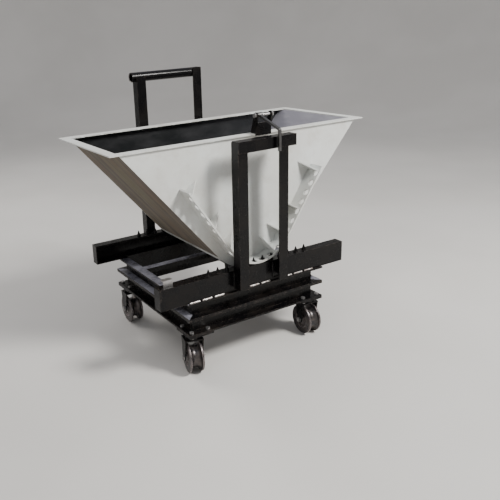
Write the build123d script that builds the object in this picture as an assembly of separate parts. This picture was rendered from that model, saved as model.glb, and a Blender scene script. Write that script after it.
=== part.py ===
from build123d import *
import math
import os

# Rocker-dump mine cart: a V-shaped hopper that rolls on two toothed beams, on four swivelling
# wheels with grooves for round rails. Millimetres. X runs across the track, Y along it, Z up.
# The origin is on the ground plane under the middle of the cart.

# --- wheels and casters ---
flange_diameter = 150.0
groove_depth = 23.0
wheel_width = 68.0
groove_radius = 26.0
flange_edge_radius = 3.0
dish_diameter = 84.0
dish_depth = 5.0
bearing_outer_diameter = 35.0
bearing_width = 11.0
axle_diameter = 15.0
running_clearance = 0.05
part_gap = 0.3
fork_side_gap = 5.0
cheek_thickness = 5.0
cheek_top_width = 70.0
cheek_bottom_radius = 18.0
crown_thickness = 6.0
crown_above_wheel = 16.0
race_diameter = 68.0
race_height = 11.5
kingpin_diameter = 16.0
kingpin_nut_width = 24.0
kingpin_nut_height = 12.0
axle_nut_width = 24.0
axle_nut_height = 8.0
spacer_diameter = 22.0
mount_plate_size = 125.0
mount_plate_thickness = 10.0
mount_bolt_diameter = 12.0
mount_bolt_head_width = 19.0
mount_bolt_head_height = 7.5
caster_inset_x = 45.0
caster_inset_y = 60.0
swivel_front_left = -15.0
swivel_front_right = -4.0
swivel_rear_left = -3.0
swivel_rear_right = 0.0

# --- base frame: two stacked courses of channel, flanges outward ---
base_half_x = 385.0
frame_ledge = 10.0
channel_height = 80.0
channel_depth = 45.0
channel_web = 6.0
channel_flange = 8.0
cross_angle_size = 40.0
cross_angle_thickness = 5.0
cross_member_y = 133.0

# --- rocker beams and their teeth ---
beam_half_length = 520.0
rocker_edge_gap = 5.0
beam_height = 100.0
beam_depth = 50.0
beam_web = 6.0
beam_flange = 8.5
beam_end_thickness = 6.0
tooth_pitch = 50.0
teeth_per_half = 6
tooth_base_radius = 11.0
tooth_tip_radius = 1.5
tooth_height = 28.0
tooth_line_from_plate = 60.0
stop_from_beam_end = 35.0
stop_length = 45.0
stop_depth = 25.0
stop_height = 27.5
stop_thickness = 6.0
stop_bearing = 25.0

# --- near portal and far push handle ---
angle_size = 50.0
angle_thickness = 5.0
portal_half_width = 135.0
portal_height = 592.0
crossbar_overhang = 40.0
post_foot_height = 15.0
handle_half_width = 192.0
handle_pipe_height = 828.0
handle_pipe_diameter = 48.3
handle_pipe_wall = 3.2
handle_pipe_stub = 20.0

# --- hopper ---
hopper_middle_x = 18.0
rim_lap = 10.0
rim_height = 590.0
rim_bar_width = 45.0
rim_bar_thickness = 5.0
sheet = 4.0
slope_angle = 49.6
bottom_below_rocker = 40.0
end_plate_outer_y = 290.0
rocker_radius = 190.0
rocker_leg_angle = 56.0
rocker_arc_length = 565.0
rocker_width = 80.0
rocker_thickness = 8.0
rocker_hole_radius = 15.0
holes_per_half = 11
gusset_stations = (100.0, 210.0, 340.0, 540.0)
gusset_height = 80.0
gusset_depth = 76.0
gusset_thickness = 6.0
roll_plug_diameter = 12.0

# --- latch ---
latch_x = 72.0
latch_pivot_ahead = 4.0
latch_pivot_above_rim = 82.0
lug_spacing = 84.0
lug_thickness = 6.0
lug_depth = 36.0
lug_top_radius = 13.0
latch_apron_above = 48.0
latch_apron_below = 8.0
pivot_diameter = 12.0
pivot_overhang = 9.0
lever_x = 50.0
lever_width = 12.0
lever_thickness = 10.0
lever_hub_radius = 12.0
lever_reach = 17.0
lever_clearance = 31.0
hook_drop = 92.0

# --- places that follow from the sizes above ---
tread_diameter = flange_diameter - 2 * groove_depth
beam_outer_y = end_plate_outer_y + rocker_width + rocker_edge_gap
tooth_line_y = end_plate_outer_y + tooth_line_from_plate
base_half_y = beam_outer_y + frame_ledge
caster_x = base_half_x - caster_inset_x
caster_y = base_half_y - caster_inset_y
rim_half_y = end_plate_outer_y + rim_lap
bottom_radius = rocker_radius + bottom_below_rocker
latch_pivot_y = rim_half_y + latch_pivot_ahead
latch_pivot_height = rim_height + latch_pivot_above_rim
portal_front = beam_outer_y + angle_size
crossbar_front = portal_front + angle_thickness
lever_end_y = crossbar_front + lever_reach
lever_end_height = portal_height + lever_clearance

# --- levels that follow from the sizes above ---
axle_z = flange_diameter / 2
crown_z = flange_diameter + crown_above_wheel
race_top_z = crown_z + crown_thickness + race_height
base_z = race_top_z + part_gap + race_height + mount_plate_thickness
upper_z = base_z + channel_height
beam_z = upper_z + channel_height
beam_top = beam_z + beam_height
rocker_z = beam_top + part_gap
roll_centre_z = rocker_z + rocker_radius
rim_top = beam_top + rim_height
leg_angle = math.radians(rocker_leg_angle)
arc_half_length = rocker_radius * leg_angle

parts = {}


def slab(x0, x1, y0, y1, z0, z1):
    """A box between two corners."""
    centre = Location(((x0 + x1) / 2, (y0 + y1) / 2, (z0 + z1) / 2))
    return centre * Box(x1 - x0, y1 - y0, z1 - z0)


def prism_z(points, z0, z1):
    """A polygon in plan, extruded up from z0 to z1."""
    outline = Polyline(*[(x, y, z0) for x, y in points], close=True)
    return extrude(make_face(outline), amount=z1 - z0, dir=(0, 0, 1))


def prism_y(points, y0, y1):
    """A polygon of x and z, extruded along Y from y0 to y1."""
    outline = Polyline(*[(x, y0, z) for x, z in points], close=True)
    return extrude(make_face(outline), amount=y1 - y0, dir=(0, 1, 0))


def prism_x(points, x0, x1):
    """A polygon of y and z, extruded along X from x0 to x1."""
    outline = Polyline(*[(x0, y, z) for y, z in points], close=True)
    return extrude(make_face(outline), amount=x1 - x0, dir=(1, 0, 0))


def rod_x(radius, x0, x1, y, z):
    """A round bar along X."""
    return Location(((x0 + x1) / 2, y, z), (0, 90, 0)) * Cylinder(radius, x1 - x0)


def rod_y(radius, y0, y1, x, z):
    """A round bar along Y."""
    return Location((x, (y0 + y1) / 2, z), (90, 0, 0)) * Cylinder(radius, y1 - y0)


def rod_z(radius, z0, z1, x=0.0, y=0.0):
    """A round bar along Z."""
    return Location((x, y, (z0 + z1) / 2)) * Cylinder(radius, z1 - z0)


def hexagon_x(width, x0, x1, y, z):
    """A hexagonal head or nut along X, measured across its flats."""
    face = Plane(origin=(x0, y, z), z_dir=(1, 0, 0)) * RegularPolygon(width / 2, 6, major_radius=False)
    return extrude(face, amount=x1 - x0, dir=(1, 0, 0))


def hexagon_z(width, z0, z1, x=0.0, y=0.0):
    """A hexagonal head or nut along Z, measured across its flats."""
    face = Plane(origin=(x, y, z0)) * RegularPolygon(width / 2, 6, major_radius=False)
    return extrude(face, amount=z1 - z0, dir=(0, 0, 1))


def turned(shape, angle):
    """A shape turned about the vertical axis through the origin."""
    return Rot(0, 0, angle) * shape


def both_ends(shape):
    """A shape and its copy on the other end of the cart, mirrored in Y."""
    return shape, mirror(shape, Plane.XZ)


# --- base frame ---
def frame_side(run_half, reach_half, z0):
    """One mitred channel on the -Y side, web inward and flanges outward."""
    inner = -reach_half + channel_depth
    top = z0 + channel_height
    web = slab(-run_half, run_half, inner - channel_web, inner, z0, top)
    low = slab(-run_half, run_half, -reach_half, inner, z0, z0 + channel_flange)
    high = slab(-run_half, run_half, -reach_half, inner, top - channel_flange, top)
    inner_half = run_half - channel_depth
    mitre = [(-run_half, -reach_half), (run_half, -reach_half), (inner_half, inner), (-inner_half, inner)]
    return (web + low + high) & prism_z(mitre, z0, top)


for course, course_z in (("lower", base_z), ("upper", upper_z)):
    along_x = frame_side(base_half_x, base_half_y, course_z)
    along_y = frame_side(base_half_y, base_half_x, course_z)
    parts[f"{course}_channel_near"] = along_x
    parts[f"{course}_channel_far"] = turned(along_x, 180)
    parts[f"{course}_channel_right"] = turned(along_y, 90)
    parts[f"{course}_channel_left"] = turned(along_y, -90)


def cross_member():
    """An angle between the side channels, its flat leg level with the frame's top."""
    inner_half = base_half_x - channel_depth
    y0 = -cross_member_y - cross_angle_size / 2
    y1 = y0 + cross_angle_size
    flat = slab(-inner_half, inner_half, y0, y1, beam_z - cross_angle_thickness, beam_z)
    upright_back = y0 + cross_angle_thickness
    upright = slab(-inner_half, inner_half, y0, upright_back, beam_z - cross_angle_size, beam_z)
    return flat + upright


parts["cross_member_near"], parts["cross_member_far"] = both_ends(cross_member())


# --- rocker beams ---
def rocker_beam():
    """A channel along X on the frame's near edge, web outward."""
    half = beam_half_length - beam_end_thickness
    outer = -beam_outer_y
    inner = outer + beam_depth
    web = slab(-half, half, outer, outer + beam_web, beam_z, beam_top)
    low = slab(-half, half, outer, inner, beam_z, beam_z + beam_flange)
    high = slab(-half, half, outer, inner, beam_top - beam_flange, beam_top)
    return web + low + high


def tooth_positions():
    """Tooth places along the beam, which are also the places of the rocker's holes."""
    return [side * (k + 0.5) * tooth_pitch for side in (-1, 1) for k in range(teeth_per_half)]


def tooth(x):
    """One conical tooth on the near beam."""
    place = Location((x, -tooth_line_y, beam_top + tooth_height / 2))
    return place * Cone(tooth_base_radius, tooth_tip_radius, tooth_height)


def beam_end(side):
    """The plate that closes one end of the near beam."""
    x0 = side * (beam_half_length - beam_end_thickness)
    x1 = side * beam_half_length
    return slab(min(x0, x1), max(x0, x1), -beam_outer_y, -beam_outer_y + beam_depth, beam_z, beam_top)


parts["rocker_beam_near"], parts["rocker_beam_far"] = both_ends(rocker_beam())
near_teeth = Compound([tooth(x) for x in tooth_positions()])
parts["beam_teeth_near"], parts["beam_teeth_far"] = both_ends(near_teeth)
near_ends = Compound([beam_end(-1), beam_end(1)])
parts["beam_end_plates"] = Compound(both_ends(near_ends))


def stop_block():
    """A short upright angle on the near beam's left end, which ends the roll to the left."""
    x0 = -beam_half_length + stop_from_beam_end
    x1 = x0 + stop_length
    outer = -beam_outer_y + beam_depth - stop_bearing
    inner = outer + stop_depth
    flat = slab(x0, x1, outer, inner, beam_top + stop_height - stop_thickness, beam_top + stop_height)
    upright = slab(x0, x1, outer, outer + stop_thickness, beam_top, beam_top + stop_height)
    return flat + upright


parts["stop_block"] = stop_block()


# --- near portal ---
post_foot = beam_z + post_foot_height
portal_top = beam_top + portal_height


def portal_post(side):
    """An angle standing on the near beam's outer face, its corner outward and forward."""
    top = portal_top - angle_thickness
    outer = side * portal_half_width
    skin = side * (portal_half_width - angle_thickness)
    tip = side * (portal_half_width - angle_size)
    cheek = slab(min(outer, skin), max(outer, skin), -portal_front, -beam_outer_y, post_foot, top)
    y1 = -portal_front + angle_thickness
    front = slab(min(outer, tip), max(outer, tip), -portal_front, y1, post_foot, top)
    return cheek + front


def portal_crossbar():
    """An angle over the posts, its flat leg on their tops and its upright leg in front."""
    x0 = -portal_half_width
    x1 = portal_half_width + crossbar_overhang
    y1 = -crossbar_front + angle_size
    flat = slab(x0, x1, -crossbar_front, y1, portal_top - angle_thickness, portal_top)
    front = slab(x0, x1, -crossbar_front, -portal_front, portal_top - angle_size, portal_top)
    return flat + front


parts["portal_post_left"] = portal_post(-1)
parts["portal_post_right"] = portal_post(1)
parts["portal_crossbar"] = portal_crossbar()

# --- far push handle ---
pipe_radius = handle_pipe_diameter / 2
pipe_z = beam_top + handle_pipe_height
pipe_y = beam_outer_y + angle_thickness + pipe_radius
pipe_left = -handle_half_width - handle_pipe_stub
pipe_right = handle_half_width - angle_thickness


def handle_post(side, top):
    """An angle with one leg flat on the far beam's outer face and one leg standing out."""
    outer = side * handle_half_width
    skin = side * (handle_half_width - angle_thickness)
    tip = side * (handle_half_width - angle_size)
    y0 = beam_outer_y
    flat = slab(min(outer, tip), max(outer, tip), y0, y0 + angle_thickness, post_foot, top)
    cheek = slab(min(outer, skin), max(outer, skin), y0, y0 + angle_size, post_foot, top)
    return flat + cheek


def handle_pipe(radius):
    """The pipe's run, solid at a given radius."""
    return rod_x(radius, pipe_left, pipe_right, pipe_y, pipe_z)


parts["handle_post_left"] = handle_post(-1, pipe_z) - handle_pipe(pipe_radius)
parts["handle_post_right"] = handle_post(1, pipe_z + pipe_radius)
parts["handle_pipe"] = handle_pipe(pipe_radius) - handle_pipe(pipe_radius - handle_pipe_wall)


# --- hopper shell ---
slope = math.radians(slope_angle)
shell_top = rim_top - rim_bar_thickness


def shell_section(inset):
    """Corner points of the shell's outline at a given inset from its outer face."""
    radius = bottom_radius - inset
    tangent_x = radius * math.sin(slope)
    tangent_z = roll_centre_z - radius * math.cos(slope)
    top_x = tangent_x + (shell_top - tangent_z) / math.tan(slope)
    return radius, tangent_x, tangent_z, top_x


def end_plate():
    """The near end plate: a V with a round bottom, bored for the plug at the roll centre."""
    radius, tangent_x, tangent_z, top_x = shell_section(0)
    y0 = -end_plate_outer_y
    left = Line((-top_x, y0, shell_top), (-tangent_x, y0, tangent_z))
    lowest = (0, y0, roll_centre_z - radius)
    bottom = ThreePointArc((-tangent_x, y0, tangent_z), lowest, (tangent_x, y0, tangent_z))
    right = Line((tangent_x, y0, tangent_z), (top_x, y0, shell_top))
    top = Line((top_x, y0, shell_top), (-top_x, y0, shell_top))
    plate = extrude(make_face([left, bottom, right, top]), amount=sheet, dir=(0, 1, 0))
    bore = roll_plug_diameter / 2 + running_clearance
    return plate - rod_y(bore, y0 - 1, y0 + sheet + 1, 0, roll_centre_z)


def slope_plate(side):
    """One sloping side between the end plates."""
    half = end_plate_outer_y - sheet
    _, outer_x, outer_z, outer_top = shell_section(0)
    _, inner_x, inner_z, inner_top = shell_section(sheet)
    corners = [(outer_x, outer_z), (outer_top, shell_top), (inner_top, shell_top), (inner_x, inner_z)]
    return prism_y([(side * x, z) for x, z in corners], -half, half)


def bottom_plate():
    """The round bottom between the two slopes."""
    half = end_plate_outer_y - sheet
    outer, outer_x, outer_z, _ = shell_section(0)
    inner, inner_x, inner_z, _ = shell_section(sheet)
    outside_low = (0, -half, roll_centre_z - outer)
    outside = ThreePointArc((-outer_x, -half, outer_z), outside_low, (outer_x, -half, outer_z))
    right = Line((outer_x, -half, outer_z), (inner_x, -half, inner_z))
    inside_low = (0, -half, roll_centre_z - inner)
    inside = ThreePointArc((inner_x, -half, inner_z), inside_low, (-inner_x, -half, inner_z))
    left = Line((-inner_x, -half, inner_z), (-outer_x, -half, outer_z))
    return extrude(make_face([outside, right, inside, left]), amount=2 * half, dir=(0, 1, 0))


parts["end_plate_near"], parts["end_plate_far"] = both_ends(end_plate())
parts["slope_plate_left"] = slope_plate(-1)
parts["slope_plate_right"] = slope_plate(1)
parts["bottom_plate"] = bottom_plate()

rim_inner_x = shell_section(0)[3]
rim_half_x = rim_inner_x + rim_bar_width
rim_inner_y = rim_half_y - rim_bar_width
rim_side = slab(rim_inner_x, rim_half_x, -rim_half_y, rim_half_y, shell_top, rim_top)
rim_end = slab(-rim_inner_x, rim_inner_x, -rim_half_y, -rim_inner_y, shell_top, rim_top)
parts["rim_bar_right"] = rim_side
parts["rim_bar_left"] = mirror(rim_side, Plane.YZ)
parts["rim_bar_near"], parts["rim_bar_far"] = both_ends(rim_end)


# --- rockers ---
def rocker_frame(station, depth):
    """Point, inward normal and tangent at a signed distance along the rocker, below its surface."""
    side = -1 if station < 0 else 1
    on_arc = min(abs(station), arc_half_length)
    bend = on_arc / rocker_radius
    along = abs(station) - on_arc
    tangent = (math.cos(bend), math.sin(bend))
    inward = (-math.sin(bend), math.cos(bend))
    x = rocker_radius * math.sin(bend) + along * tangent[0] + depth * inward[0]
    z = rocker_radius * (1 - math.cos(bend)) + along * tangent[1] + depth * inward[1]
    return (side * x, rocker_z + z), (side * inward[0], inward[1]), (tangent[0], side * tangent[1])


def rocker():
    """The near rocker: a strip bent round the bottom into two straight legs, with a row of holes."""
    y0 = -end_plate_outer_y - rocker_width
    edges = []
    ends = []
    for depth in (0.0, rocker_thickness):
        stations = (-rocker_arc_length, -arc_half_length, 0.0, arc_half_length, rocker_arc_length)
        left_top, left_end, bottom, right_end, right_top = [
            (point[0], y0, point[1]) for point, _, _ in (rocker_frame(s, depth) for s in stations)
        ]
        edges.append(Line(left_top, left_end))
        edges.append(ThreePointArc(left_end, bottom, right_end))
        edges.append(Line(right_end, right_top))
        ends.append((left_top, right_top))
    edges.append(Line(ends[0][0], ends[1][0]))
    edges.append(Line(ends[0][1], ends[1][1]))
    strip = extrude(make_face(edges), amount=rocker_width, dir=(0, 1, 0))
    holes = []
    for side in (-1, 1):
        for k in range(holes_per_half):
            point, inward, _ = rocker_frame(side * (k + 0.5) * tooth_pitch, rocker_thickness / 2)
            axis = Plane(origin=(point[0], -tooth_line_y, point[1]), z_dir=(inward[0], 0, inward[1]))
            holes.append(axis * Cylinder(rocker_hole_radius, 3 * rocker_thickness))
    return strip - holes


def gusset(station):
    """A triangular web between the rocker's inner face and the near end plate."""
    point, inward, tangent = rocker_frame(station, rocker_thickness)
    along = Vector(tangent[0], 0, tangent[1])
    foot = Vector(point[0], -end_plate_outer_y, point[1]) - along * (gusset_thickness / 2)
    tip = foot + Vector(inward[0], 0, inward[1]) * gusset_height
    toe = foot - Vector(0, gusset_depth, 0)
    face = make_face(Polyline(foot, tip, toe, close=True))
    return extrude(face, amount=gusset_thickness, dir=along)


parts["rocker_near"], parts["rocker_far"] = both_ends(rocker())
signed_stations = [side * station for side in (-1, 1) for station in gusset_stations]
near_gussets = Compound([gusset(station) - parts["rocker_near"] for station in signed_stations])
parts["rocker_gussets_near"], parts["rocker_gussets_far"] = both_ends(near_gussets)
near_plug = rod_y(roll_plug_diameter / 2, -end_plate_outer_y, -end_plate_outer_y + sheet, 0, roll_centre_z)
parts["roll_centre_plugs"] = Compound(both_ends(near_plug))

# --- latch ---
pivot_z = beam_top + latch_pivot_height
lug_inner = lug_spacing / 2 - lug_thickness


def latch_lug(side):
    """One cheek of the latch bracket, standing on the near rim bar."""
    x0 = latch_x + side * lug_inner
    x1 = x0 + side * lug_thickness
    x0, x1 = min(x0, x1), max(x0, x1)
    y0 = -rim_half_y
    y1 = y0 + lug_depth
    neck0 = -latch_pivot_y - lug_top_radius
    neck1 = -latch_pivot_y + lug_top_radius
    plate = prism_x([(y0, rim_top), (y1, rim_top), (neck1, pivot_z), (neck0, pivot_z)], x0, x1)
    crown = rod_x(lug_top_radius, x0, x1, -latch_pivot_y, pivot_z)
    bore = rod_x(pivot_diameter / 2, x0 - 1, x1 + 1, -latch_pivot_y, pivot_z)
    return plate + crown - bore


def latch_bracket():
    """Two lugs joined by an apron that laps over the rim bar's edge."""
    half = lug_spacing / 2
    y0 = -rim_half_y - lug_thickness
    z0 = rim_top - latch_apron_below
    apron = slab(latch_x - half, latch_x + half, y0, -rim_half_y, z0, rim_top + latch_apron_above)
    return latch_lug(-1) + latch_lug(1) + apron


def latch_pivot():
    """The bolt through the lugs, with its head and nut."""
    half = lug_spacing / 2
    head_width = 1.6 * pivot_diameter
    x0 = latch_x - half - pivot_overhang
    x1 = latch_x + half + pivot_overhang
    shank = rod_x(pivot_diameter / 2, x0, x1, -latch_pivot_y, pivot_z)
    head = hexagon_x(head_width, x0, x0 + pivot_overhang, -latch_pivot_y, pivot_z)
    nut = hexagon_x(head_width, latch_x + half, x1, -latch_pivot_y, pivot_z)
    return shank + head + nut


def latch_lever():
    """A flat bar from the pivot over the crossbar, with a hook that hangs in front of it."""
    x0 = lever_x - lever_width / 2
    x1 = lever_x + lever_width / 2
    end_z = beam_top + lever_end_height
    run = lever_end_y - latch_pivot_y
    fall = pivot_z - end_z
    length = math.hypot(run, fall)
    up_y = -fall / length * lever_thickness / 2
    up_z = run / length * lever_thickness / 2
    bar_points = [
        (-latch_pivot_y + up_y, pivot_z + up_z),
        (-lever_end_y + up_y, end_z + up_z),
        (-lever_end_y - up_y, end_z - up_z),
        (-latch_pivot_y - up_y, pivot_z - up_z),
    ]
    bar = prism_x(bar_points, x0, x1)
    hub_half = lever_width
    hub = rod_x(lever_hub_radius, lever_x - hub_half, lever_x + hub_half, -latch_pivot_y, pivot_z)
    knee = rod_x(lever_thickness / 2, x0, x1, -lever_end_y, end_z)
    half = lever_thickness / 2
    hook = slab(x0, x1, -lever_end_y - half, -lever_end_y + half, end_z - hook_drop, end_z)
    bore = pivot_diameter / 2 + running_clearance
    pivot_hole = rod_x(bore, latch_x - lug_spacing, latch_x + lug_spacing, -latch_pivot_y, pivot_z)
    return bar + hub + knee + hook - pivot_hole


parts["latch_bracket"] = latch_bracket()
parts["latch_pivot_bolt"] = latch_pivot()
parts["latch_lever"] = latch_lever()

# --- casters ---
axle_radius = axle_diameter / 2
wheel_half = wheel_width / 2
cheek_inner = wheel_half + fork_side_gap
cheek_outer = cheek_inner + cheek_thickness


def wheel():
    """A grooved wheel on its axle line, bored at both faces for the bearings."""
    rim = rod_x(flange_diameter / 2, -wheel_half, wheel_half, 0, axle_z)
    rim = fillet(rim.edges().filter_by(GeomType.CIRCLE), flange_edge_radius)
    ring_centre = tread_diameter / 2 + groove_radius
    groove = Location((0, 0, axle_z), (0, 90, 0)) * Torus(ring_centre, groove_radius)
    body = rim - groove
    for side in (-1, 1):
        face = side * wheel_half
        seat = face - side * bearing_width
        dish = face - side * dish_depth
        body -= rod_x(dish_diameter / 2, min(face, dish), max(face, dish), 0, axle_z)
        body += rod_x(bearing_outer_diameter / 2 + dish_depth, min(face, dish), max(face, dish), 0, axle_z)
        body -= rod_x(bearing_outer_diameter / 2, min(face, seat), max(face, seat), 0, axle_z)
    return body - rod_x(spacer_diameter / 2, -wheel_half, wheel_half, 0, axle_z)


def bearing(side):
    """One ball bearing, as its closed outer shape."""
    face = side * wheel_half
    seat = face - side * bearing_width
    x0, x1 = min(face, seat), max(face, seat)
    ring = rod_x(bearing_outer_diameter / 2, x0, x1, 0, axle_z)
    return ring - rod_x(axle_radius + running_clearance, x0, x1, 0, axle_z)


def fork():
    """Two cheeks, a crown and the turning half of the ball race."""
    plates = []
    for side in (-1, 1):
        x0, x1 = sorted((side * cheek_inner, side * cheek_outer))
        half = cheek_top_width / 2
        top = crown_z + crown_thickness
        taper = [(-half, top), (half, top), (cheek_bottom_radius, axle_z), (-cheek_bottom_radius, axle_z)]
        cheek = prism_x(taper, x0, x1) + rod_x(cheek_bottom_radius, x0, x1, 0, axle_z)
        plates.append(cheek - rod_x(axle_radius, x0, x1, 0, axle_z))
    half = cheek_top_width / 2
    crown = slab(-cheek_outer, cheek_outer, -half, half, crown_z, crown_z + crown_thickness)
    race = rod_z(race_diameter / 2, crown_z + crown_thickness, race_top_z)
    bore = rod_z(kingpin_diameter / 2 + running_clearance, crown_z - 1, race_top_z + 1)
    return crown + race + plates[0] + plates[1] - bore


def spacer(side):
    """A tube between a bearing and its cheek."""
    x0, x1 = sorted((side * (wheel_half + part_gap), side * cheek_inner))
    tube = rod_x(spacer_diameter / 2, x0, x1, 0, axle_z)
    return tube - rod_x(axle_radius, x0, x1, 0, axle_z)


def axle_set():
    """The axle bolt with its nut, and two spacers."""
    tip = cheek_outer + axle_nut_height
    shank = rod_x(axle_radius, -cheek_outer, tip + 4, 0, axle_z)
    head = hexagon_x(axle_nut_width, -tip, -cheek_outer, 0, axle_z)
    nut = hexagon_x(axle_nut_width, cheek_outer, tip, 0, axle_z)
    return Compound([shank + head + nut, spacer(-1), spacer(1)])


def mount_plate():
    """The fixed plate with the upper half of the ball race, its corner flush with the frame's."""
    corner_x = base_half_x - caster_x
    corner_y = base_half_y - caster_y
    z0 = base_z - mount_plate_thickness
    x0 = corner_x - mount_plate_size
    y0 = corner_y - mount_plate_size
    plate = slab(x0, corner_x, y0, corner_y, z0, base_z)
    race = rod_z(race_diameter / 2, race_top_z + part_gap, z0)
    bore = rod_z(kingpin_diameter / 2, race_top_z, base_z)
    body = plate + race - bore
    for x, y in mount_bolt_places():
        body -= rod_z(mount_bolt_diameter / 2, z0, base_z, x, y)
    return body


def mount_bolt_places():
    """Three bolts through the frame's lower flange, round the corner."""
    corner_x = base_half_x - caster_x
    corner_y = base_half_y - caster_y
    edge = (channel_depth - channel_web) / 2
    far = mount_plate_size - edge
    outer_x, outer_y = corner_x - edge, corner_y - edge
    return [(outer_x, outer_y), (corner_x - far, outer_y), (outer_x, corner_y - far)]


def mount_bolt(x, y):
    """A bolt up through the mount plate and the flange, with its head below and nut above."""
    z0 = base_z - mount_plate_thickness
    nut_z = base_z + channel_flange
    head = hexagon_z(mount_bolt_head_width, z0 - mount_bolt_head_height, z0, x, y)
    shank = rod_z(mount_bolt_diameter / 2, z0, nut_z + mount_bolt_head_height, x, y)
    nut = hexagon_z(mount_bolt_head_width, nut_z, nut_z + mount_bolt_head_height, x, y)
    return head + shank + nut


def kingpin():
    """The pin that the fork turns on: set in the mount plate, with a nut under the crown."""
    nut_top = crown_z - part_gap
    pin = rod_z(kingpin_diameter / 2, nut_top, base_z)
    return pin + hexagon_z(kingpin_nut_width, nut_top - kingpin_nut_height, nut_top)


def at_corner(shape, side_x, side_y):
    """A fixed caster piece, drawn for the far right corner, at any corner."""
    placed = Location((caster_x, caster_y, 0)) * shape
    placed = mirror(placed, Plane.YZ) if side_x < 0 else placed
    return mirror(placed, Plane.XZ) if side_y < 0 else placed


def swivelled(shape, side_x, side_y, angle):
    """A turning caster piece at its corner, at its swivel angle."""
    return Location((side_x * caster_x, side_y * caster_y, 0), (0, 0, angle)) * shape


corners = {
    "front_left": (-1, -1, swivel_front_left),
    "front_right": (1, -1, swivel_front_right),
    "rear_left": (-1, 1, swivel_rear_left),
    "rear_right": (1, 1, swivel_rear_right),
}
sides = [(side_x, side_y) for side_x, side_y, _ in corners.values()]
corner_bolts = [mount_bolt(x, y) for x, y in mount_bolt_places()]
parts["caster_mount_plates"] = Compound([at_corner(mount_plate(), *side) for side in sides])
parts["caster_kingpins"] = Compound([at_corner(kingpin(), *side) for side in sides])
parts["caster_mount_bolts"] = Compound([at_corner(bolt, *side) for side in sides for bolt in corner_bolts])
for side_x, side_y in sides:
    for x, y in mount_bolt_places():
        hole_x, hole_y = side_x * (caster_x + x), side_y * (caster_y + y)
        hole = rod_z(mount_bolt_diameter / 2, base_z, base_z + channel_flange, hole_x, hole_y)
        for wall in ("near", "far", "left", "right"):
            parts[f"lower_channel_{wall}"] -= hole
bearing_pair = Compound([bearing(-1), bearing(1)])
for corner, (side_x, side_y, angle) in corners.items():
    parts[f"fork_{corner}"] = swivelled(fork(), side_x, side_y, angle)
    parts[f"axle_{corner}"] = swivelled(axle_set(), side_x, side_y, angle)
    parts[f"wheel_{corner}"] = swivelled(wheel(), side_x, side_y, angle)
    parts[f"bearings_{corner}"] = swivelled(bearing_pair, side_x, side_y, angle)

# --- the hopper and the teeth that it rolls on stand to the right of the frame's middle ---
shell = ("end_plate", "slope_plate", "bottom_plate", "rim_bar", "roll_centre")
rolling = ("rocker_near", "rocker_far", "rocker_gussets", "beam_teeth", "latch")
for name, shape in parts.items():
    if name.startswith(shell + rolling):
        parts[name] = Location((hopper_middle_x, 0, 0)) * shape

os.makedirs("parts", exist_ok=True)
for name, shape in parts.items():
    export_step(shape, f"parts/{name}.step")
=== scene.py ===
import math

import bmesh
import bpy
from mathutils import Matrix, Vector, noise


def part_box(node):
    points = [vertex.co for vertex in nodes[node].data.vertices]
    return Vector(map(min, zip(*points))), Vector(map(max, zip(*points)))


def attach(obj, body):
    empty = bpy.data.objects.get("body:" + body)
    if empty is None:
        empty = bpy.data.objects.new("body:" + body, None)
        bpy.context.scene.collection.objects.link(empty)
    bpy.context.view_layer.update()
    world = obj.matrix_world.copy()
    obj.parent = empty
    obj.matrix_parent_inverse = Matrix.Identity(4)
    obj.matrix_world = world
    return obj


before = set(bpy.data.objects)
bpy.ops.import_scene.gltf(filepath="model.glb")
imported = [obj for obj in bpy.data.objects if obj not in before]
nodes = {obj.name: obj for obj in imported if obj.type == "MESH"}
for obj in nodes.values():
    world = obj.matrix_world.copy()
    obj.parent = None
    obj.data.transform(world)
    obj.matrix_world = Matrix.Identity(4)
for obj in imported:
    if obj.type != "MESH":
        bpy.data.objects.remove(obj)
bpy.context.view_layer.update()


# --- materials ---

white_tones = ((0.66, 0.68, 0.665), (0.56, 0.555, 0.52))
dark_lining = ((0.012, 0.013, 0.014), (0.034, 0.034, 0.036))
# Painted sky reflection on the black inside of the right slope plate: pale lavender grey tones.
sky_reflection_tones = ((0.24, 0.235, 0.27), (0.33, 0.325, 0.355))


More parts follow.
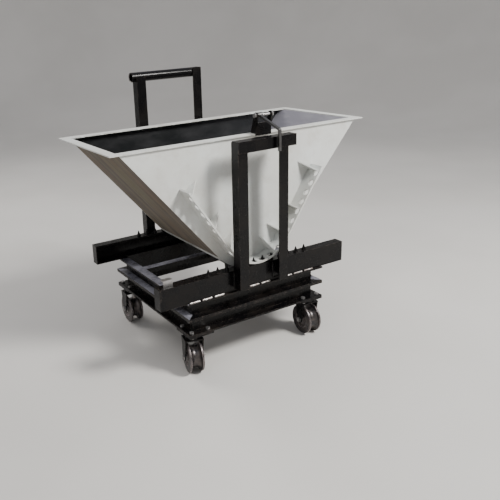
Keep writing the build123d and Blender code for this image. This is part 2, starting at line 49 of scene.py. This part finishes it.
class Graph:
    """Short names for building a node material."""

    def __init__(self, name):
        self.material = bpy.data.materials.new(name)
        self.material.use_nodes = True
        self.tree = self.material.node_tree
        self.shader = self.tree.nodes["Principled BSDF"]
        self.place = self.add("ShaderNodeTexCoord").outputs["Object"]

    def add(self, kind, **settings):
        node = self.tree.nodes.new(kind)
        for key, value in settings.items():
            setattr(node, key, value)
        return node

    def join(self, source, target):
        self.tree.links.new(source, target)

    def scaled(self, x, y, z):
        """The object's coordinates stretched along each axis."""
        mapping = self.add("ShaderNodeMapping")
        mapping.inputs["Scale"].default_value = (x, y, z)
        self.join(self.place, mapping.inputs["Vector"])
        return mapping.outputs["Vector"]

    def noise(self, scale, detail=4.0, roughness=0.55, vector=None):
        node = self.add("ShaderNodeTexNoise")
        node.inputs["Scale"].default_value = scale
        node.inputs["Detail"].default_value = detail
        node.inputs["Roughness"].default_value = roughness
        self.join(vector or self.place, node.inputs["Vector"])
        return node.outputs["Fac"]

    def ramp(self, source, low, high, start=0.0, end=1.0):
        """A value carried from one range to another, clamped."""
        node = self.add("ShaderNodeMapRange")
        node.inputs["From Min"].default_value = low
        node.inputs["From Max"].default_value = high
        node.inputs["To Min"].default_value = start
        node.inputs["To Max"].default_value = end
        self.join(source, node.inputs["Value"])
        return node.outputs["Result"]

    def maths(self, operation, a, b):
        node = self.add("ShaderNodeMath", operation=operation)
        for socket, value in zip(node.inputs, (a, b)):
            if isinstance(value, (int, float)):
                socket.default_value = value
            else:
                self.join(value, socket)
        return node.outputs["Value"]

    def mix(self, factor, first, second):
        """Two colours mixed by a factor. Each may be a colour or a socket."""
        node = self.add("ShaderNodeMix", data_type="RGBA")
        for socket, value in ((node.inputs[6], first), (node.inputs[7], second)):
            if isinstance(value, tuple):
                socket.default_value = (*value, 1.0)
            else:
                self.join(value, socket)
        if isinstance(factor, (int, float)):
            node.inputs[0].default_value = factor
        else:
            self.join(factor, node.inputs[0])
        return node.outputs[2]

    def edge_wear(self, radius=0.004):
        """Near 1 along edges and near 0 on flat faces."""
        bevel = self.add("ShaderNodeBevel", samples=6)
        bevel.inputs["Radius"].default_value = radius
        geometry = self.add("ShaderNodeNewGeometry")
        product = self.add("ShaderNodeVectorMath", operation="DOT_PRODUCT")
        self.join(bevel.outputs["Normal"], product.inputs[0])
        self.join(geometry.outputs["Normal"], product.inputs[1])
        return self.ramp(product.outputs["Value"], 0.995, 0.90)

    def facing(self, direction):
        """Near 1 on faces that look along a direction in the part's own axes."""
        product = self.add("ShaderNodeVectorMath", operation="DOT_PRODUCT")
        coordinates = self.add("ShaderNodeTexCoord")
        self.join(coordinates.outputs["Normal"], product.inputs[0])
        product.inputs[1].default_value = direction
        return self.ramp(product.outputs["Value"], 0.45, 0.60)

    def bump(self, source, strength, distance=0.001):
        node = self.add("ShaderNodeBump")
        node.inputs["Strength"].default_value = strength
        node.inputs["Distance"].default_value = distance
        self.join(source, node.inputs["Height"])
        self.join(node.outputs["Normal"], self.shader.inputs["Normal"])

    def finish(self, color, roughness, metallic=0.0, coat=0.0, coat_roughness=0.1):
        self.join(color, self.shader.inputs["Base Color"])
        if isinstance(roughness, (int, float)):
            self.shader.inputs["Roughness"].default_value = roughness
        else:
            self.join(roughness, self.shader.inputs["Roughness"])
        self.shader.inputs["Metallic"].default_value = metallic
        self.shader.inputs["Coat Weight"].default_value = coat
        self.shader.inputs["Coat Roughness"].default_value = coat_roughness
        return self.material


def black_enamel(name, dust=0.35, sky_sheen_tops=0.0):
    """Gloss black paint with fine orange peel, dust in blotches, paint worn off edges, and a painted sky
    reflection in patches on faces that look up.
    """
    g = Graph(name)
    g.shader.inputs["Specular IOR Level"].default_value = 0.16
    blotch = g.ramp(g.noise(9.0, 6.0, 0.62), 0.46, 0.74)
    fine = g.ramp(g.noise(160.0, 3.0), 0.35, 0.75)
    dirt = g.maths("MULTIPLY", g.maths("MULTIPLY", blotch, fine), dust)
    color = g.mix(dirt, (0.0030, 0.0028, 0.0032), (0.040, 0.030, 0.022))
    chips = g.maths("MULTIPLY", g.edge_wear(0.003), g.ramp(g.noise(55.0, 5.0, 0.7), 0.50, 0.60))
    color = g.mix(g.maths("MULTIPLY", chips, 0.6), color, (0.13, 0.105, 0.09))
    if sky_sheen_tops:
        # Painted sky reflection: pale lavender grey on faces that look up, broken into patches by noise.
        sheen_patches = g.ramp(g.noise(1.0, 5.0, 0.7, g.scaled(7.0, 7.0, 3.0)), 0.36, 0.58)
        sky_sheen = g.maths("MULTIPLY", g.maths("MULTIPLY", g.facing((0, 0, 1)), sheen_patches), sky_sheen_tops)
        color = g.mix(sky_sheen, color, (0.36, 0.36, 0.42))
    rough = g.maths("ADD", g.ramp(blotch, 0.0, 1.0, 0.20, 0.42), g.ramp(fine, 0.0, 1.0, 0.0, 0.10))
    g.bump(g.noise(420.0, 2.0), 0.10, 0.0006)
    return g.finish(color, rough, 0.0, 0.05, 0.12)


def white_paint(name, ground_reflection=0.0, dust=0.25, inside=None, inside_tones=dark_lining):
    """Satin white paint with rust specks, an optional painted reflection of the brown ground in long
    vertical lines, and on faces that look along inside a scuffed inside coat in the given tones, black
    paint by default and a painted sky reflection for the right slope.
    """
    g = Graph(name)
    cloud = g.noise(3.2, 5.0, 0.6)
    color = g.mix(g.ramp(cloud, 0.38, 0.66), *white_tones)
    speck = g.ramp(g.noise(120.0, 4.0, 0.7), 0.64, 0.72)
    color = g.mix(g.maths("MULTIPLY", speck, 0.35), color, (0.28, 0.22, 0.16))
    grime = g.maths("MULTIPLY", g.ramp(g.noise(14.0, 6.0, 0.65), 0.50, 0.72), dust)
    color = g.mix(grime, color, (0.33, 0.29, 0.235))
    if ground_reflection:
        # Painted reflection of the brown ground: long tan and dark lines, darkest towards the top and cream
        # lower down.
        height = g.add("ShaderNodeSeparateXYZ")
        g.join(g.place, height.inputs["Vector"])
        drift = g.maths("MULTIPLY", g.ramp(g.noise(4.0, 3.0), 0.3, 0.7), 0.16)
        reflection_height = g.ramp(g.maths("ADD", height.outputs["Z"], drift), 0.56, 0.86)
        long_lines = g.noise(1.0, 6.0, 0.62, g.scaled(1.1, 30.0, 1.1))
        broad = g.noise(1.0, 3.0, 0.5, g.scaled(1.6, 10.0, 2.2))
        tan = g.mix(g.ramp(broad, 0.38, 0.62), (0.100, 0.048, 0.020), (0.105, 0.080, 0.026))
        dark = g.mix(g.ramp(long_lines, 0.42, 0.60), tan, (0.026, 0.012, 0.007))
        cream = g.mix(g.ramp(long_lines, 0.40, 0.62), (0.150, 0.115, 0.075), (0.060, 0.040, 0.026))
        reflected_ground = g.mix(reflection_height, cream, dark)
        color = g.mix(ground_reflection, color, reflected_ground)
    wear = g.maths("MULTIPLY", g.edge_wear(0.003), g.ramp(g.noise(45.0, 5.0, 0.7), 0.48, 0.60))
    color = g.mix(g.maths("MULTIPLY", wear, 0.55), color, (0.19, 0.13, 0.09))
    rough = g.ramp(cloud, 0.3, 0.7, 0.34, 0.52)
    if inside:
        # On inside faces a scuffed black coat, and where the sky tones are passed, a painted sky reflection
        # in blotches.
        scuffs_and_sheen = g.ramp(g.noise(1.0, 5.0, 0.65, g.scaled(6.0, 3.0, 14.0)), 0.42, 0.70)
        inside_color = g.mix(scuffs_and_sheen, *inside_tones)
        color = g.mix(g.facing(inside), color, inside_color)
        rough = g.maths("MULTIPLY", rough, g.ramp(g.facing(inside), 0.0, 1.0, 1.0, 0.72))
    g.bump(g.noise(260.0, 3.0), 0.12, 0.0006)
    if ground_reflection:
        g.shader.inputs["Specular IOR Level"].default_value = 0.12
        return g.finish(color, 0.7)
    return g.finish(color, rough, 0.0, 0.12, 0.25)


def plug_paint(name):
    """White outside the hopper and dark inside it, on two plugs that face each other across it."""
    g = Graph(name)
    cloud = g.noise(12.0, 5.0, 0.6)
    place = g.add("ShaderNodeSeparateXYZ")
    g.join(g.place, place.inputs["Vector"])
    looks = g.add("ShaderNodeSeparateXYZ")
    g.join(g.add("ShaderNodeTexCoord").outputs["Normal"], looks.inputs["Vector"])
    inward = g.ramp(g.maths("MULTIPLY", place.outputs["Y"], looks.outputs["Y"]), 0.1, -0.1)
    outside = g.mix(g.ramp(cloud, 0.38, 0.66), *white_tones)
    inside_color = g.mix(g.ramp(cloud, 0.42, 0.70), *dark_lining)
    g.bump(g.noise(260.0, 3.0), 0.12, 0.0006)
    return g.finish(g.mix(inward, outside, inside_color), g.ramp(cloud, 0.3, 0.7, 0.30, 0.50), 0.0, 0.12, 0.25)


def bare_steel(name, tone=0.46, grain=(4.0, 260.0, 260.0), rough_range=(0.28, 0.46)):
    """Bare or plated steel with a fine grain and slight tarnish."""
    g = Graph(name)
    line = g.noise(1.0, 4.0, 0.6, g.scaled(*grain))
    stain = g.ramp(g.noise(24.0, 5.0, 0.65), 0.45, 0.70)
    base = (tone, tone * 0.985, tone * 0.99)
    dark = (tone * 0.48, tone * 0.43, tone * 0.40)
    color = g.mix(g.maths("MULTIPLY", stain, 0.7), base, dark)
    g.bump(line, 0.15, 0.0004)
    return g.finish(color, g.ramp(line, 0.3, 0.7, *rough_range), 0.9)


def wheel_iron(name):
    """Dark oily iron, worn bright where the rail runs."""
    g = Graph(name)
    stain = g.ramp(g.noise(38.0, 6.0, 0.65), 0.40, 0.68)
    color = g.mix(stain, (0.055, 0.052, 0.056), (0.125, 0.105, 0.095))
    color = g.mix(g.edge_wear(0.006), color, (0.42, 0.37, 0.37))
    g.bump(g.noise(220.0, 4.0), 0.22, 0.0008)
    return g.finish(color, g.ramp(stain, 0.0, 1.0, 0.26, 0.48), 0.75)


def weld_metal(name):
    """A bright weld bead with heat tint."""
    g = Graph(name)
    tint = g.ramp(g.noise(60.0, 3.0), 0.40, 0.64)
    color = g.mix(tint, (0.66, 0.63, 0.60), (0.33, 0.28, 0.26))
    g.bump(g.noise(300.0, 3.0), 0.3, 0.0008)
    return g.finish(color, 0.34, 0.85)


enamel = black_enamel("black_enamel")
enamel_dusty = black_enamel("black_enamel_dusty", 0.75)
# Black enamel with a painted sky reflection on its top faces.
enamel_sky_sheen = black_enamel("black_enamel_sky_sheen", 0.75, 0.8)
white = white_paint("white_paint")
plug = plug_paint("plug_paint")
slope_angle = math.radians(49.6)
# Strength of the painted ground reflection on the slope plates.
slope_ground_reflection = 0.86
slope_dust = 0.4
left_inside = (math.sin(slope_angle), 0, math.cos(slope_angle))
right_inside = (-math.sin(slope_angle), 0, math.cos(slope_angle))
shell_paint = {
    "slope_plate_left": white_paint("paint_left_slope", slope_ground_reflection, slope_dust, left_inside),
    # The right slope's inside carries a painted sky reflection instead of plain black.
    "slope_plate_right": white_paint(
        "paint_right_slope", slope_ground_reflection, slope_dust, right_inside, sky_reflection_tones
    ),
    "bottom_plate": white_paint("paint_bottom", 0.0, slope_dust, (0, 0, 1)),
    "end_plate_near": white_paint("paint_near_end", 0.0, 0.25, (0, 1, 0)),
    "end_plate_far": white_paint("paint_far_end", 0.0, 0.25, (0, -1, 0)),
}
steel = bare_steel("bright_steel")
latch_steel = bare_steel("latch_steel", 0.13, (60.0, 60.0, 30.0), (0.26, 0.42))
zinc = bare_steel("zinc_steel", 0.40, (90.0, 90.0, 90.0), (0.30, 0.50))
iron = wheel_iron("wheel_iron")
weld = weld_metal("weld_metal")
weld_painted = white_paint("weld_painted", 0.0, 0.15)
weld_black = black_enamel("weld_black", 0.5)


edge_width = 0.0012


def set_material(obj, material):
    obj.data.materials.clear()
    obj.data.materials.append(material)


def soften(obj, width, segments=2):
    """Rounded edges on a CAD node, as rolled or cut steel has them."""
    modifier = obj.modifiers.new("edges", "BEVEL")
    modifier.width = width
    modifier.segments = segments
    modifier.limit_method = "ANGLE"
    modifier.angle_limit = math.radians(40)
    modifier.harden_normals = False


for name, obj in nodes.items():
    if name.startswith("wheel_"):
        set_material(obj, iron)
    elif name.startswith(("axle_", "caster_kingpins", "caster_mount_bolts", "latch_pivot")):
        set_material(obj, zinc)
    elif name.startswith(("bearings_", "stop_block")):
        set_material(obj, steel)
    elif name.startswith("latch_lever"):
        set_material(obj, latch_steel)
    elif name in shell_paint:
        set_material(obj, shell_paint[name])
    elif name.startswith(("rim_bar", "rocker_near", "rocker_far", "rocker_gussets")):
        set_material(obj, white)
    elif name == "roll_centre_plugs":
        set_material(obj, plug)
    # Cross members and side channels get the painted sky reflection on their tops.
    elif name.startswith(("cross_member", "upper_channel_left", "upper_channel_right")):
        set_material(obj, enamel_sky_sheen)
    elif name.startswith(("lower_channel", "upper_channel")):
        set_material(obj, enamel_dusty)
    else:
        set_material(obj, enamel)
    if not name.startswith(("wheel_", "bearings_", "beam_teeth", "roll_centre")):
        soften(obj, edge_width)

# --- weld beads ---

bead_step = 0.0022
bead_sides = 10
ripple_pitch = 0.0052
weld_clearance = 0.001


def smooth_mesh(name, shape):
    """Turns a finished bmesh into a mesh with smooth faces."""
    mesh = bpy.data.meshes.new(name)
    shape.to_mesh(mesh)
    shape.free()
    for face in mesh.polygons:
        face.use_smooth = True
    return mesh


def bead_mesh(name, runs, radius):
    """One mesh of rippled weld beads, each along a straight run between two points."""
    shape = bmesh.new()
    for start, end in runs:
        start, end = Vector(start), Vector(end)
        axis = (end - start).normalized()
        side = axis.cross(Vector((0.3, 0.5, 0.8))).normalized()
        other = axis.cross(side)
        length = (end - start).length
        count = max(6, int(length / bead_step))
        rings = []
        for i in range(count + 1):
            t = i / count
            along = t * length
            taper = min(1.0, 0.35 + 6.0 * min(t, 1 - t) * length / (4 * radius))
            ripple = 0.86 + 0.14 * abs(math.sin(math.pi * along / ripple_pitch))
            wander = 0.12 * radius * noise.noise(Vector((along * 90, start.x * 7, start.z * 9)))
            size = radius * taper * ripple
            centre = start + axis * along + other * wander
            ring = []
            for k in range(bead_sides):
                turn = 2 * math.pi * k / bead_sides
                outward = side * math.cos(turn) + other * math.sin(turn)
                ring.append(shape.verts.new(centre + outward * size))
            rings.append(ring)
        for first, second in zip(rings, rings[1:]):
            for k in range(bead_sides):
                j = (k + 1) % bead_sides
                shape.faces.new((first[k], first[j], second[j], second[k]))
        shape.faces.new(rings[0][::-1])
        shape.faces.new(rings[-1])
    return smooth_mesh(name, shape)


def add_piece(name, mesh, body, material):
    """A new visible piece that rides on a body."""
    obj = bpy.data.objects.new(name, mesh)
    bpy.context.scene.collection.objects.link(obj)
    set_material(obj, material)
    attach(obj, body)


def add_beads(name, runs, radius, body, material):
    add_piece(name, bead_mesh(name, runs, radius), body, material)


def stitches(start, end, length, gap, skip=()):
    """Short runs along a line, leaving gaps and any stretch of x named in skip."""
    start, end = Vector(start), Vector(end)
    total = (end - start).length
    axis = (end - start) / total
    runs = []
    at = 0.0
    while at + length <= total:
        first, last = start + axis * at, start + axis * (at + length)
        if not any(low < first.x < high or low < last.x < high for low, high in skip):
            runs.append((first, last))
        at += length + gap
    return runs


def outside_y(node, side):
    """Just outside the face of a node that looks away from the middle of the cart."""
    low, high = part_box(node)
    return low[1] - weld_clearance if side == "near" else high[1] + weld_clearance


def beam_welds(side, posts):
    """Stitch welds in the corner between a beam's outer face and the top of the frame."""
    low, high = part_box("upper_channel_" + side)
    y = outside_y("rocker_beam_" + side, side)
    z = high[2] + 0.0015
    skip = [(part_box(post)[0][0] - 0.004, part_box(post)[1][0] + 0.004) for post in posts]
    runs = stitches((low[0] + 0.01, y, z), (high[0] - 0.01, y, z), 0.055, 0.010, skip)
    add_beads("beam_weld_" + side, runs, 0.0042, "chassis", weld)


beam_welds("near", ("portal_post_left", "portal_post_right"))
beam_welds("far", ("handle_post_left", "handle_post_right"))

def rim_welds(side):
    """Short welds every 100 mm in the corner between a rim bar and the end plate under it."""
    low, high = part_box("rim_bar_" + side)
    y = outside_y("end_plate_" + side, side)
    z = low[2] - 0.0012
    runs = stitches((low[0] + 0.03, y, z), (high[0] - 0.03, y, z), 0.022, 0.078)
    add_beads("rim_weld_" + side, runs, 0.0035, "hopper", weld_painted)


def rim_top_welds():
    """Short welds along the inner edge of the far rim bar, where it laps the plate below."""
    low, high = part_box("rim_bar_far")
    y = low[1] + weld_clearance
    z = low[2] + 0.0015
    runs = stitches((low[0] + 0.05, y, z), (high[0] - 0.05, y, z), 0.020, 0.080)
    add_beads("rim_top_weld_far", runs, 0.0032, "hopper", weld_painted)


def pipe_end_ring():
    """A bright worn ring on the open end of the handle pipe."""
    around = 48
    sides = 8
    thickness = 0.0014
    low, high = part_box("handle_pipe")
    radius = (high[2] - low[2]) / 2 - 0.0024
    middle = Vector((low[0] + 0.0015, (low[1] + high[1]) / 2, (low[2] + high[2]) / 2))
    shape = bmesh.new()
    rings = []
    for k in range(around):
        turn = 2 * math.pi * k / around
        outward = Vector((0, math.cos(turn), math.sin(turn)))
        centre = middle + outward * radius
        ring = []
        for j in range(sides):
            angle = 2 * math.pi * j / sides
            offset = outward * math.cos(angle) + Vector((1, 0, 0)) * math.sin(angle)
            ring.append(shape.verts.new(centre + offset * thickness))
        rings.append(ring)
    for k in range(around):
        first, second = rings[k], rings[(k + 1) % around]
        for j in range(sides):
            i = (j + 1) % sides
            shape.faces.new((first[j], first[i], second[i], second[j]))
    bmesh.ops.recalc_face_normals(shape, faces=shape.faces)
    name = "handle_pipe_end_ring"
    add_piece(name, smooth_mesh(name, shape), "chassis", weld)


def rocker_welds(side):
    """Painted beads round the bottom arc of a rocker, where it meets the end plate."""
    bead_line_radius = 0.181
    rocker_radius = 0.190
    low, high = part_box("rocker_" + side)
    y = outside_y("end_plate_" + side, side)
    middle = (low[0] + high[0]) / 2
    centre = low[2] + rocker_radius

    def place(degrees):
        turn = math.radians(degrees)
        return (middle + bead_line_radius * math.sin(turn), y, centre - bead_line_radius * math.cos(turn))

    runs = [(place(k * 11.0 + 1.5), place(k * 11.0 + 9.0)) for k in range(-5, 5)]
    add_beads("rocker_weld_" + side, runs, 0.0035, "hopper", weld_painted)


def post_foot_welds(post, side):
    """Welds down both sides and under the foot of a post, where it laps the beam's outer face."""
    low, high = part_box(post)
    y = outside_y("rocker_beam_" + side, side)
    left, right = low[0] - weld_clearance, high[0] + weld_clearance
    bottom = low[2]
    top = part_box("rocker_beam_" + side)[1][2] - 0.006
    under = bottom - weld_clearance
    runs = [
        ((left, y, bottom), (left, y, top)),
        ((right, y, bottom), (right, y, top)),
        ((low[0], y, under), (high[0], y, under)),
    ]
    add_beads(post + "_weld", runs, 0.004, "chassis", weld_black)


for side, post_kind in (("near", "portal"), ("far", "handle")):
    rim_welds(side)
    rocker_welds(side)
    for hand in ("left", "right"):
        post_foot_welds(f"{post_kind}_post_{hand}", side)
rim_top_welds()
pipe_end_ring()

# --- floor, light and camera ---


def add_floor():
    """A round pale floor that curves up into a backdrop on every side."""
    flat, curve, around = 6.0, 4.0, 96
    profile = [(flat / 2, 0.0), (flat, 0.0)]
    for step in range(1, 13):
        turn = math.radians(7.5 * step)
        profile.append((flat + curve * math.sin(turn), curve * (1 - math.cos(turn))))
    profile.append((flat + curve, 2 * curve))
    turns = [2 * math.pi * k / around for k in range(around)]
    shape = bmesh.new()
    rings = []
    for radius, height in profile:
        rings.append([shape.verts.new((radius * math.cos(t), radius * math.sin(t), height)) for t in turns])
    shape.faces.new(rings[0])
    for inner, outer in zip(rings, rings[1:]):
        for k in range(around):
            j = (k + 1) % around
            shape.faces.new((inner[k], outer[k], outer[j], inner[j]))
    floor = bpy.data.objects.new("floor", smooth_mesh("floor", shape))
    bpy.context.scene.collection.objects.link(floor)
    g = Graph("floor")
    color = g.mix(g.ramp(g.noise(0.6, 3.0), 0.4, 0.6), (0.56, 0.545, 0.52), (0.60, 0.585, 0.56))
    set_material(floor, g.finish(color, 0.8))


def add_light(name, place, target, size, power, color):
    """A soft rectangular light that points at a target."""
    data = bpy.data.lights.new(name, "AREA")
    data.shape = "RECTANGLE"
    data.size, data.size_y = size
    data.energy = power
    data.color = color
    obj = bpy.data.objects.new(name, data)
    obj.location = place
    obj.rotation_euler = (Vector(target) - Vector(place)).to_track_quat("-Z", "Y").to_euler()
    bpy.context.scene.collection.objects.link(obj)


def add_camera():
    """The main view: a direction, a roll about it, and a place."""
    azimuth, elevation, roll = (math.radians(a) for a in (-28.3, 18.35, -3.24))
    level = math.cos(elevation)
    forward = Vector((math.sin(-azimuth) * level, math.cos(-azimuth) * level, -math.sin(elevation)))
    right = forward.cross(Vector((0, 0, 1))).normalized()
    up = right.cross(forward)
    turned_right = math.cos(roll) * right + math.sin(roll) * up
    turned_up = -math.sin(roll) * right + math.cos(roll) * up
    data = bpy.data.cameras.new("camera")
    data.lens = 44.7
    data.shift_x = 0.156
    data.shift_y = -0.0356
    camera = bpy.data.objects.new("camera", data)
    rotation = camera.matrix_world.to_3x3()
    rotation.col[0], rotation.col[1], rotation.col[2] = turned_right, turned_up, -forward
    camera.matrix_world = rotation.to_4x4()
    camera.location = (-1.6114, -2.5456, 1.5322)
    bpy.context.scene.collection.objects.link(camera)
    bpy.context.scene.camera = camera


def add_world():
    """Plain studio surroundings: bright overhead and darker towards the horizon."""
    world = bpy.data.worlds.new("studio")
    world.use_nodes = True
    tree = world.node_tree
    place = tree.nodes.new("ShaderNodeTexCoord")
    split = tree.nodes.new("ShaderNodeSeparateXYZ")
    ramp = tree.nodes.new("ShaderNodeValToRGB")
    ramp.color_ramp.elements[0].position = 0.02
    ramp.color_ramp.elements[0].color = (0.20, 0.19, 0.185, 1.0)
    ramp.color_ramp.elements[1].position = 0.75
    ramp.color_ramp.elements[1].color = (0.90, 0.92, 1.0, 1.0)
    tree.links.new(place.outputs["Generated"], split.inputs["Vector"])
    tree.links.new(split.outputs["Z"], ramp.inputs["Fac"])
    tree.links.new(ramp.outputs["Color"], tree.nodes["Background"].inputs["Color"])
    tree.nodes["Background"].inputs["Strength"].default_value = 0.62
    bpy.context.scene.world = world


add_floor()
add_world()
add_light("key", (1.9, -3.4, 4.3), (0, 0, 0.7), (1.2, 1.2), 430.0, (1.0, 0.985, 0.95))
add_light("fill", (-3.8, -2.2, 2.4), (0, 0, 0.6), (2.4, 2.4), 22.0, (0.95, 0.97, 1.0))
add_light("back", (-1.6, 3.8, 3.6), (0, 0, 0.9), (2.6, 1.6), 120.0, (1.0, 0.97, 0.93))
add_camera()
